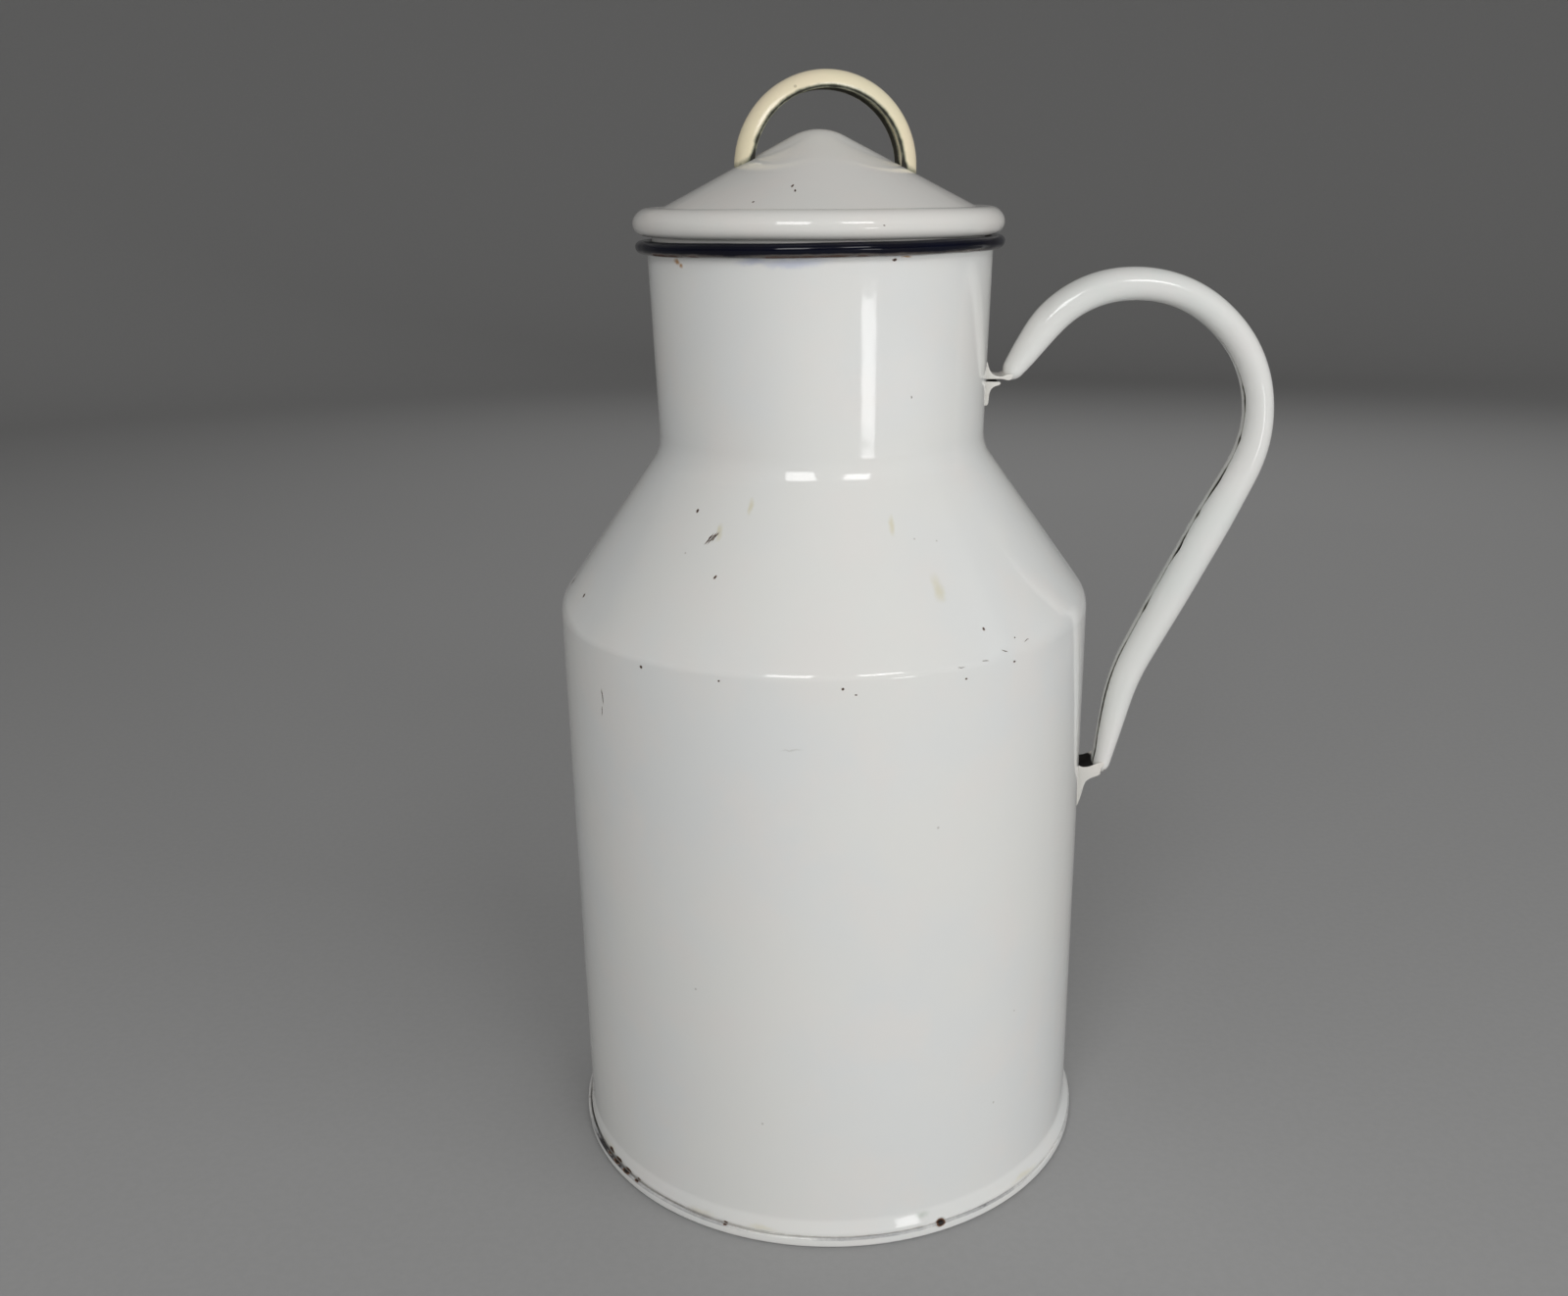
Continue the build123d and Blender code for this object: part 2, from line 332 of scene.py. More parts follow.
def spotAt(point, wide, high, turn=(0, 0, 0), deep=4.0):
    # a mark anywhere: its middle and half sizes in mm, its turn in degrees
    return {"Location": tuple(float(value) * mm for value in point), "Scale": (deep * mm, wide * mm, high * mm),
            "Rotation": tuple(math.radians(value) for value in turn)}


def marksOn(radiusAt, rows):
    # marks on a turned surface, each row an angle, a height, two half sizes and a lean
    spots = []
    for angle, height, wide, high, lean in rows:
        radius = radiusAt(height)
        turn = math.radians(angle)
        place = (radius * math.cos(turn), radius * math.sin(turn), height)
        spots.append(spotAt(place, wide, high, (lean, 0, angle)))
    return spots


enamelLook = {
    "tones": [(0.755, 0.755, 0.728, 1), (0.735, 0.745, 0.735, 1), (0.765, 0.748, 0.722, 1)],
    "broadScale": 11.0, "broadEdges": (0.40, 0.62), "fineScale": 37.0, "fineEdges": (0.44, 0.70, 0.0, 0.7),
    "halo": (0.36, 0.33, 0.30, 1), "rust": (0.13, 0.06, 0.03, 1), "steel": (0.022, 0.018, 0.016, 1),
    "dotScale": 130.0, "dotShare": 0.030, "dotSize": 0.075, "dotStrength": 0.5,
    "flawScale": 26.0, "flawShare": 0.17, "flawSize": 0.016, "flawStrength": 0.9,
    "stainStir": (110.0, 0.0045), "stainEdges": (0.1, 1.15),
    "grainScale": 230.0, "grainRough": 0.65, "grainSize": 0.55,
    # pale and dark wear tones; on the handle and the lid's loop they also paint shade
    "paleWearAndShade": (0.60, 0.50, 0.40, 1), "paleStart": (0.02, 0.3), "paleEdges": (0.10, 0.62),
    "darkWearAndShade": (0.05, 0.03, 0.02, 1), "darkStart": (0.3, 0.5), "darkEdges": (0.52, 0.74),
    "roughness": 0.06, "roughSpread": 0.045, "roughScale": 48.0, "roughEdges": (0.3, 0.7), "wornRough": 0.45,
    "chipRings": [(1.0, 1.4, 0.5, "halo"), (0.84, 1.02, 1.0, "rust"), (0.45, 0.8, 1.0, "steel")],
    "chipStir": (430.0, 0.0011), "chipRough": (0.6, 1.05, 0.5, 0.0), "chipPit": (0.75, 1.1),
    "bareAndShadeStir": (300.0, 0.0008), "bareAndShadeEdges": (0.86, 1.04, 1.0, 0.0), "bareAndShadeRough": (0.9, 1.0, 0.6, 0.0),
    "waveScale": 95.0, "waviness": 0.12, "waveHeight": 0.5, "pitStrength": 0.5, "pitDepth": 0.3, "ior": 1.52,
}


def enamel(name, changes, chips=(), stains=(), bareAndShade=()):
    # glassy enamel: two soft noises mix three close tones; over them lie dots, stains, and the attribute's wear
    # and, on the handle and the loop, painted shade, broken up by grain; a chip goes from halo to rust to steel
    # inwards, and a bare spot is steel all over
    look = {**enamelLook, **changes}
    nodes = NodeSet(name)
    broad = nodes.span(nodes.noise(look["broadScale"]), *look["broadEdges"])
    fine = nodes.span(nodes.noise(look["fineScale"], 4.0), *look["fineEdges"])
    colour = nodes.blend(fine, nodes.blend(broad, look["tones"][0], look["tones"][1]), look["tones"][2])
    for kind, tint in (("dot", "halo"), ("flaw", "steel")):
        dots = nodes.dots(*(look[kind + measure] for measure in ("Scale", "Share", "Size")))
        colour = nodes.blend(nodes.math("MULTIPLY", dots, look[kind + "Strength"]), colour, look[tint])
    for tint, strength, spots in stains:
        field = nodes.nearest(spots, nodes.stirred(*look["stainStir"]))
        colour = nodes.blend(nodes.span(field, *look["stainEdges"], strength, 0.0), colour, tint)
    wearAndShade = nodes.add("ShaderNodeAttribute", attribute_name="wearAndShade").outputs["Fac"]
    grain = nodes.math("SUBTRACT", nodes.noise(look["grainScale"], 4.0, look["grainRough"]), 0.5)
    grainedWearAndShade = nodes.math("ADD", wearAndShade, nodes.math("MULTIPLY", grain, look["grainSize"]))
    pale, dark = (nodes.math("MULTIPLY", nodes.span(wearAndShade, *look[tone + "Start"]),
                             nodes.span(grainedWearAndShade, *look[tone + "Edges"])) for tone in ("pale", "dark"))
    colour = nodes.blend(dark, nodes.blend(pale, colour, look["paleWearAndShade"]), look["darkWearAndShade"])
    gloss = nodes.span(nodes.noise(look["roughScale"]), *look["roughEdges"],
                       look["roughness"], look["roughness"] + look["roughSpread"])
    rough = nodes.math("ADD", gloss, nodes.math("MULTIPLY", dark, look["wornRough"]))
    height = nodes.math("MULTIPLY", dark, -1.0)
    if chips:
        field = nodes.nearest(chips, nodes.stirred(*look["chipStir"]))
        for inner, outer, strength, tint in look["chipRings"]:
            colour = nodes.blend(nodes.span(field, inner, outer, strength, 0.0), colour, look[tint])
        rough = nodes.math("ADD", rough, nodes.span(field, *look["chipRough"]))
        height = nodes.math("ADD", height, nodes.span(field, *look["chipPit"]))
    # on the brackets the bare spots are near black and also paint shade
    if bareAndShade:
        field = nodes.nearest(bareAndShade, nodes.stirred(*look["bareAndShadeStir"]))
        colour = nodes.blend(nodes.span(field, *look["bareAndShadeEdges"]), colour, look["steel"])
        rough = nodes.math("ADD", rough, nodes.span(field, *look["bareAndShadeRough"]))
    waves = nodes.bump(look["waviness"], look["waveHeight"], nodes.noise(look["waveScale"], 2.0))
    pits = nodes.bump(look["pitStrength"], look["pitDepth"], height, waves)
    nodes.feed(nodes.shader, {"Base Color": colour, "Roughness": rough, "IOR": look["ior"], "Normal": pits})
    return nodes.material


cameraPlace = {"back": 534.9, "up": 367.8, "pitch": 17.62, "yaw": 1.64, "roll": -1.0,
               "focal": 32.89, "sensor": 36.0, "near": 0.01}


def makeCamera(s):
    # looks along +Y, tipped down by the pitch, turned by the yaw, and rolled about its own line of sight
    pitch, yaw, roll = (math.radians(s[key]) for key in ("pitch", "yaw", "roll"))
    ahead = np.array([-math.sin(yaw) * math.cos(pitch), math.cos(yaw) * math.cos(pitch), -math.sin(pitch)])
    level = np.array([math.cos(yaw), math.sin(yaw), 0])
    lifted = np.cross(level, ahead)
    data = bpy.data.cameras.new("camera")
    data.sensor_width = s["sensor"]
    data.lens = s["focal"]
    data.clip_start = s["near"]
    camera = placed("camera", data)
    right = math.cos(roll) * level + math.sin(roll) * lifted
    above = math.cos(roll) * lifted - math.sin(roll) * level
    camera.matrix_world = standing(right, above, -ahead, (0, -s["back"] * mm, s["up"] * mm))
    bpy.context.scene.camera = camera


makeCamera(cameraPlace)
print("camera placed")


pail = {
    "sheet": 1.2, "columns": 320, "seamDrop": 5.0, "shoulderRise": 56.0, "shoulderRound": 13.0,
    "neckBend": 17.0, "neckFoot": 59.9, "neckFlare": 2.0, "neckTopDrop": 1.3, "neckRise": 70.7,
    "frontDrop": 3.6, "frontRound": 4.2,  # in front the corner is sharper and sits lower
    "frontFrom": -172, "frontUntil": -51, "fadeIn": 25, "fadeOut": 9,
    "flareStart": 10.0, "flareDrop": 4.5, "flareGap": 0.2, "flareBends": (5.0, 2.4), "wallEnd": 1.8,
    "wallRuns": (70, 4, 5), "wallBends": (8, 8), "shoulderRuns": (3, 22, 24), "shoulderBends": (16, 18),
    "oval": 0.15, "ovalTurn": 0.6, "footShift": 0.85, "footFade": 6.0,
    "dents": [  # angle, height, half width in degrees, half height, depth
        (-44, 225, 8, 5, 0.5), (-33, 214, 7, 6, 0.35), (-120, 150, 16, 30, 0.25), (-75, 100, 18, 34, 0.22),
        (150, 120, 14, 26, 0.5), (62, 180, 15, 22, 0.4), (100, 60, 12, 18, 0.45), (-60, 255, 16, 10, 0.2),
    ],
    "footWear": 0.42, "footLine": (4.3, 0.5), "footBand": (6.2, 1.9), "neckBand": (0.5, 1.2),
    "footPatches": [(-152, 10, 0.2), (-118, 12, 0.2), (-66, 6, 0.1), (-172, 7, 0.45), (-40, 14, 0.15),
                    (80, 30, 0.4), (150, 20, 0.4)],
    "neckPatches": [(-98, 20, 0.30), (60, 40, 0.30)],
}
cornerHeight = seamHeight + pail["seamDrop"] * mm
neckFootHeight = cornerHeight + pail["shoulderRise"] * mm
neckTop = rimHeight - pail["neckTopDrop"] * mm


def neckOutside(height):
    # the neck widens evenly from its foot to its top
    return (pail["neckFoot"] + pail["neckFlare"] * (height - neckFootHeight) / (pail["neckRise"] * mm)) * mm


def pailWobble(radius, angle, height):
    # a little oval, the foot set slightly towards the handle, and shallow dents
    s = pail
    moved = radius + s["oval"] * mm * (np.cos(2 * angle + s["ovalTurn"]) - 1) * radius / bodyRadius
    moved += s["footShift"] * mm * np.cos(angle) * ease((s["flareStart"] * mm - height) / (s["footFade"] * mm))
    for turn, up, wide, high, deep in s["dents"]:
        moved -= deep * mm * turnHill(angle, turn, wide) * hill(height, up * mm, high * mm)
    return moved


def wallLine():
    # down the wall, out along the flare, and down inside the hem
    s = pail
    flare = hemRadius - (s["sheet"] + s["flareGap"]) * mm
    return route([(bodyRadius, seamHeight), (bodyRadius, s["flareStart"] * mm),
                  (flare, (s["flareStart"] - s["flareDrop"]) * mm), (flare, s["wallEnd"] * mm)],
                 [bend * mm for bend in s["flareBends"]], s["wallRuns"], s["wallBends"])


def shoulderLine(drop, rounding):
    # up from the seam, in along the shoulder's cone, then up the neck; the corner may drop and be sharper
    s = pail
    return route([(bodyRadius, seamHeight), (bodyRadius, cornerHeight - drop * mm),
                  (s["neckFoot"] * mm, neckFootHeight), (neckOutside(neckTop), neckTop)],
                 [rounding * mm, s["neckBend"] * mm], s["shoulderRuns"], s["shoulderBends"])


def outsideAt(height):
    # outside radius of wall, shoulder and neck at a height, both in mm
    line = np.vstack([wallLine()[::-1], shoulderLine(0, pail["shoulderRound"])[1:]]) / mm
    return float(np.interp(height, line[:, 1], line[:, 0]))


def makeWall(material):
    # the wall's line and its copy one sheet inside, turned once round; worn in a line and patches at the foot
    s = pail
    outline = sheetLoop(wallLine()[::-1], s["sheet"] * mm)
    radius, angle, height = turnedGrid(outline, s["columns"])
    wearAndShade = s["footWear"] * hill(height / mm, *s["footLine"])
    wearAndShade = wearAndShade + patchesRound(angle, s["footPatches"]) * hill(height / mm, *s["footBand"])
    grid = roundPoints(pailWobble(radius, angle, height), angle, height)
    shape = closed(grid, "none")
    makePiece("wall", shape, "pail", "body_wall", material, wearAndShade)


def makeShoulder(material):
    # two profiles, one for the front and one for the rest, mixed by the angle and turned once round
    s = pail
    plain = sheetLoop(shoulderLine(0, s["shoulderRound"]), s["sheet"] * mm)
    front = sheetLoop(shoulderLine(s["frontDrop"], s["frontRound"]), s["sheet"] * mm)
    radius, angle, height = turnedGrid(plain, s["columns"])
    frontRadius, _, frontHeight = turnedGrid(front, s["columns"])
    degrees = np.degrees(angle)
    share = ease((degrees - s["frontFrom"]) / s["fadeIn"]) * ease((s["frontUntil"] - degrees) / s["fadeOut"])
    radius = radius + (frontRadius - radius) * share
    height = height + (frontHeight - height) * share
    grid = roundPoints(pailWobble(radius, angle, height), angle, height)
    wearAndShade = patchesRound(angle, s["neckPatches"]) * hill((neckTop - height) / mm, *s["neckBand"])
    shape = closed(grid, "none")
    makePiece("shoulder", shape, "pail", "shoulder_neck", material, wearAndShade)


hem = {
    "recess": 9.0, "baseRound": 4.0, "skirtRound": 1.8, "hemRound": 1.7, "skirtGap": 0.3, "height": 4.0,
    "inset": 0.3, "runs": (26, 4, 4, 4), "bends": (10, 7, 7), "rounding": 5, "sag": 1.2, "sagAbove": 5.0,
    "lipFrom": 1.5, "lipOver": 2.5, "ripple": 0.16, "rippleShift": 1.3, "shiftShare": 0.35, "shiftBack": 0.4,
    "waves": [(5, 1.0, 1.0), (11, 0.0, 0.6), (23, 2.0, 0.4)],
    "edgeFrom": 3.1, "edgeOver": 1.0, "edgeWear": 0.372, "slowBreaks": [(3, 0.4, 0.248)],
    "fastBreaks": [(8, 0, 1)], "lipPatches": [(-152, 14, 0.25), (120, 30, 0.5)],
    "groundWear": 0.5, "groundHigh": 1.0, "lipTop": 4.6, "lipStep": 0.8,
}


def makeBottom(material):
    # raised bottom, down the skirt, out along the ground, up round the wall's foot; the lip is a little wavy
    s = hem
    skirt = bodyRadius - (2 * pail["sheet"] + s["skirtGap"]) * mm
    outer = hemRadius - s["inset"] * mm
    recess = s["recess"] * mm
    line = route([(0, recess), (skirt, recess), (skirt, 0), (outer, 0), (outer, s["height"] * mm)],
                 [s[bend] * mm for bend in ("baseRound", "skirtRound", "hemRound")], s["runs"], s["bends"])
    outline = sheetLoop(line, pail["sheet"] * mm, s["rounding"])[1:len(line) * 2 + s["rounding"] - 1]
    radius, angle, height = turnedGrid(outline, pail["columns"])
    share = ease((radius - skirt) / (outer - skirt))
    lip = ease((height / mm - s["lipFrom"]) / s["lipOver"]) * share
    breaks = s["edgeWear"] + ripples(angle, s["slowBreaks"]) * ripples(angle, s["fastBreaks"])
    wearAndShade = lip * ease((height / mm - s["edgeFrom"]) / s["edgeOver"]) * breaks
    wearAndShade += lip * patchesRound(angle, s["lipPatches"])
    wearAndShade += s["groundWear"] * share * hill(height, 0, s["groundHigh"] * mm)
    height = height + lip * s["ripple"] * mm * (ripples(angle, s["waves"]) - s["rippleShift"])
    height = height - s["sag"] * mm * (1 - ease(radius / skirt)) * (height > s["sagAbove"] * mm)
    radius = radius + share * pail["footShift"] * mm * s["shiftShare"] * (np.cos(angle) - s["shiftBack"])
    shape = closed(roundPoints(radius, angle, height), "poles")
    makePiece("bottom", shape, "pail", "base_plate", material, wearAndShade)


rim = {
    "columns": 320, "around": 28, "slack": 0.12, "flatTop": 0.80, "ripple": 0.05, "rippleShift": 1.2,
    "waves": [(7, 0, 1), (17, 1.3, 0.7), (41, 0, 0.5)], "sway": [(9, 2, 1)],
    "underSlope": 1.8, "underFrom": 0.5, "outerFrom": 0.8, "grainedWearAndShade": 0.40, "waveWear": 0.10,
    "patches": [(-96, 14, 0.30), (-142, 16, 0.275), (-70, 12, 0.25)],
}


def makeRim(material):
    # a ring of round section, lower on top, a little uneven along its length and worn underneath
    s = rim
    bead = rimBead - s["slack"] * mm
    outline = arc((rimRing, rimHeight), bead, 0, 360, s["around"] + 1)[:-1]
    outline[:, 1] -= np.maximum(outline[:, 1] - rimHeight, 0) * (1 - s["flatTop"])
    radius, angle, height = turnedGrid(outline, s["columns"])
    waves = ripples(angle, s["waves"])
    under = ease((rimHeight - height) / bead * s["underSlope"] - s["underFrom"])
    under = under * ease((radius - rimRing) / bead + s["outerFrom"])
    wearAndShade = under * (s["grainedWearAndShade"] + patchesRound(angle, s["patches"]) + s["waveWear"] * waves)
    radius = radius + s["ripple"] * mm * (waves - s["rippleShift"])
    height = height + s["ripple"] * mm * ripples(angle, s["sway"])
    shape = closed(roundPoints(radius, angle, height), "none")
    makePiece("rim", shape, "pail", "rim_curl", material, wearAndShade)


lid = {
    "sheet": 1.0, "columns": 288, "bead": 5.0, "slope": 27.1, "crease": 121.0, "curlEnd": -100.0,
    "lower": 4.2, "upper": 6.1, "join": 20.0, "tipRound": 20.0, "beadCount": 22, "tipCount": 16, "coneCount": 60,
    "step": 0.7, "soft": 2, "rounding": 5, "tilt": 0.6, "nod": 0.3, "shift": -0.5, "drop": 0.36,
    "ripple": 0.08, "waves": [(3, 0.5, 1.0), (7, 2.0, 0.6)],
    "creaseWide": 0.8, "creaseGrey": 0.24, "creaseWaves": [(6, 0.0, 0.07), (17, 1.0, 0.05)],
    "edgeWear": 0.16, "edgeHigh": 1.6, "collarColumns": 200, "collarRows": 24, "collarGap": 1.2,
}
lidRing = lidHigh[0] - lid["bead"] * mm


def seated(points):
    # the lid lies a little crooked: turned about its right edge, so its left edge stands up, and nodding forwards
    tilt = math.radians(lid["tilt"])
    nod = math.radians(lid["nod"])
    pivot = np.array([lidRing, 0, lidLow[2]])
    away = points - pivot
    x = away[..., 0] * math.cos(tilt) + away[..., 2] * math.sin(tilt)
    z = away[..., 2] * math.cos(tilt) - away[..., 0] * math.sin(tilt)
    y = away[..., 1] * math.cos(nod) - z * math.sin(nod)
    z = z * math.cos(nod) + away[..., 1] * math.sin(nod)
    return np.stack([x + pivot[0] + lid["shift"] * mm, y, z + pivot[2] - lid["drop"] * mm], axis=-1)


def lidLine():
    # from the curl's end up round the bead, which is two arcs, up the cone to the rounded tip; and the crease
    s = lid
    lowerMiddle = np.array([lidHigh[0] - s["lower"] * mm, lidLow[2] + s["lower"] * mm])
    joinWay = np.array([math.cos(math.radians(s["join"])), math.sin(math.radians(s["join"]))])
    upperMiddle = lowerMiddle - joinWay * (s["upper"] - s["lower"]) * mm
    curl = arc(lowerMiddle, s["lower"] * mm, s["curlEnd"], s["join"], s["beadCount"])
    brow = arc(upperMiddle, s["upper"] * mm, s["join"], s["crease"], s["beadCount"])
    slope = math.radians(s["slope"])
    tip = brow[-1][1] + brow[-1][0] * math.tan(slope)
    centre = (0, tip - s["tipRound"] * mm / math.cos(slope))
    top = arc(centre, s["tipRound"] * mm, 90 - s["slope"], 90, s["tipCount"])
    cone = np.linspace(brow[-1], top[0], s["coneCount"])
    line = evenly(np.vstack([curl[:-1], brow[:-1], cone[:-1], top]), s["step"] * mm)
    return softened(line, s["soft"]), brow[-1]


def coneHeight(radius):
    # height of the lid's outside at a radius
    line, crease = lidLine()
    cone = line[line[:, 1] > crease[1]][::-1]
    cone = cone[cone[:, 0] < crease[0]]
    return np.interp(radius, cone[:, 0], cone[:, 1])


def makeLid(material):
    # the lid's line and its copy one sheet inside, turned once round, with a slight ripple at the edge
    s = lid
    line, crease = lidLine()
    band = sheetLoop(line, s["sheet"] * mm, s["rounding"])
    outline = np.vstack([band[len(line) + s["rounding"] + 1:], band[:len(line) - 1]])
    radius, angle, height = turnedGrid(outline, s["columns"])
    # a thin grey line along the crease between the cone and the bead, a little uneven round the lid
    wearAndShade = hill(np.hypot(radius - crease[0], height - crease[1]), 0, s["creaseWide"] * mm)
    wearAndShade *= s["creaseGrey"] + ripples(angle, s["creaseWaves"])
    wearAndShade += s["edgeWear"] * hill(height, lidLow[2], s["edgeHigh"] * mm) * (radius > lidRing)
    height = height + s["ripple"] * mm * ease(radius / lidRing) * ripples(angle, s["waves"])
    shape = closed(seated(roundPoints(radius, angle, height)), "poles")
    makePiece("lid", shape, "lid", "lid_cover", material, wearAndShade)


def makeCollar(material):
    # a plain band under the lid, its edges rounded
    s = lid
    radius = collarHigh[0]
    top = coneHeight(radius - s["sheet"] * mm) - s["collarGap"] * mm
    line = np.linspace((radius, collarLow[2]), (radius, top), s["collarRows"])
    spread, angle, height = turnedGrid(sheetLoop(line, s["sheet"] * mm, s["rounding"]), s["collarColumns"])
    shape = closed(seated(roundPoints(spread, angle, height)), "none")
    makePiece("collar", shape, "lid", "lid_collar", material)


loop = {
    "radius": 32.6, "width": 13.0, "depth": 5.8, "sheet": 1.1, "offset": 2.75, "turn": 9.0, "lower": 0.9,
    "leg": 4.5, "sink": 0.3, "bendCount": 90, "legCount": 8, "skinCount": 22, "rounding": 5,
    # the strap's hollow inside is painted a little darker and greenish, painted shade
    "edgeWear": 0.75, "edgeHigh": 0.9, "footWear": 0.5, "footHigh": 2.2, "hollowShade": 0.17, "hollowFrom": 0.6,
}


def makeLoop(material):
    # a hollow half-round strap bent in a half circle, its two legs run down until they meet the cone
    s = loop
    skinRadius = ((s["width"] / 2) ** 2 + s["depth"] ** 2) / (2 * s["depth"]) * mm
    half = math.degrees(math.acos(1 - s["depth"] * mm / skinRadius))
    skin = arc((0, 0), skinRadius, half, -half, s["skinCount"])
    section = sheetLoop(np.c_[skin[:, 1], skin[:, 0] - skinRadius], s["sheet"] * mm, s["rounding"])
    bend = np.radians(np.linspace(0, 180, s["bendCount"]))
    legs = np.linspace(1, 0, s["legCount"])[:-1]
    alongX = np.r_[legs * 0 + 1, np.cos(bend), legs * 0 - 1]
    alongZ = np.r_[legs * 0, np.sin(bend), legs * 0]
    down = np.r_[legs, bend * 0, legs[::-1]] * s["leg"] * mm
    reach = s["radius"] * mm + section[:, 1]
    x = alongX[:, None] * reach + s["offset"] * mm
    z = alongZ[:, None] * reach + loopTop - (s["radius"] + s["lower"]) * mm - down[:, None]
    y = section[:, 0] + 0 * x
    turn = math.radians(s["turn"])
    grid = np.stack([x * math.cos(turn) - y * math.sin(turn), x * math.sin(turn) + y * math.cos(turn), z],
                    axis=-1)
    ground = coneHeight(np.hypot(grid[..., 0], grid[..., 1])) - s["sink"] * mm
    footing = hill(np.maximum(z - ground, 0), 0, s["footHigh"] * mm)
    grid[..., 2] = np.maximum(z, ground)
    edge = hill(section[:, 1], -s["depth"] * mm, s["edgeHigh"] * mm)[None, :]
    # the hollow inside of the strap is tinted greenish dark, painted shade
    fromMiddle = np.linalg.norm(section - np.array([0, -skinRadius]), axis=1)
    hollow = (fromMiddle < skinRadius - s["hollowFrom"] * s["sheet"] * mm)[None, :]
    wearAndShade = s["edgeWear"] * edge + s["footWear"] * footing + s["hollowShade"] * hollow
    shape = closed(seated(grid), "flat")
    makePiece("loop", shape, "lid", "lid_loop", material, wearAndShade)


grip = {
    "sheet": 1.0, "step": 1.0, "around": 52, "soft": 5, "upperMore": 2.6, "lowerMore": 3.2,
    "bends": (38.7, 46.6, 47.6, 80.5), "runCounts": (12, 6, 6, 60, 20), "bendCounts": (20, 20, 30, 16),
    "upperGap": 9.1, "upperRise": 25.0, "lowerGap": 10.2, "lowerDrop": 73.6, "reach": 72.2, "reachDrop": 7.1,
    "crown": (-40.8, 31.7), "rise": (-81.0, 30.6), "knee": (7.2, 36.7),
    # share of the way along, and the size there
    "depths": [(0, 6.2), (0.03, 9.2), (0.08, 12.0), (0.16, 12.0), (0.30, 11.3), (0.46, 10.7), (0.52, 11.8),
               (0.62, 13.9), (0.73, 13.6), (0.83, 12.2), (0.90, 10.6), (0.95, 8.6), (1, 6.6)],
    "widths": [(0, 12.5), (0.05, 14.0), (0.12, 15.0), (0.86, 15.0), (0.95, 13.8), (1, 12.0)],
    "cap": 4.2, "capLeast": 0.02, "endWide": 0.4, "innerPower": 2.5, "outerPower": 2.0, "hollowLeast": 0.3,
    "seam": 0.62, "seamTurn": -13.0, "seamLimits": (0.005, 0.8), "seamWaver": 0.25, "seamWaves": 160,
    # share of the way along, half width as a share, and how much wider the seam stands
    "gapes": [(0.440, 0.014, 1.5), (0.505, 0.005, 0.9), (0.572, 0.016, 1.9), (0.668, 0.013, 2.3),
              (0.62, 0.004, 0.5), (0.76, 0.006, 0.4), (0.90, 0.05, 0.5), (0.97, 0.02, 2.6)],
    # the seam's lips are painted greenish grey, painted shade beside the slit, and the tube's inside near black,
    # painted shade seen through the slit; the openings' darker edges are chips
    "lipWide": 1.1, "lipShade": 0.28, "gapeWear": 0.5, "gapeSpread": 1.5,
    "hollowShade": 0.7, "endWear": 0.35, "endLong": 4.0, "sharp": 60,
}


def gripLine():
    # middle line of the tube as X and Z, from its upper end to its lower end
    s = grip
    upperHeight = neckFootHeight + s["upperRise"] * mm
    upper = np.array([neckOutside(upperHeight) + s["upperGap"] * mm, upperHeight])
    lower = np.array([bodyRadius + s["lowerGap"] * mm, cornerHeight - s["lowerDrop"] * mm])
    outer = np.array([bodyRadius + s["reach"] * mm, upperHeight])
    line = route([upper, outer + np.array(s["rise"]) * mm, outer + np.array(s["crown"]) * mm,
                  outer - np.array([0, s["reachDrop"]]) * mm, lower + np.array(s["knee"]) * mm, lower],
                 [bend * mm for bend in s["bends"]], s["runCounts"], s["bendCounts"])
    return softened(evenly(line, s["step"] * mm), s["soft"])


def longerGrip():
    # the same line run on a little past both of its ends
    line = gripLine()
    first, last = line[0] - line[3], line[-1] - line[-4]
    first *= grip["upperMore"] * mm / np.linalg.norm(first)
    last *= grip["lowerMore"] * mm / np.linalg.norm(last)
    return evenly(np.vstack([line[0] + first, line, line[-1] + last]), grip["step"] * mm)


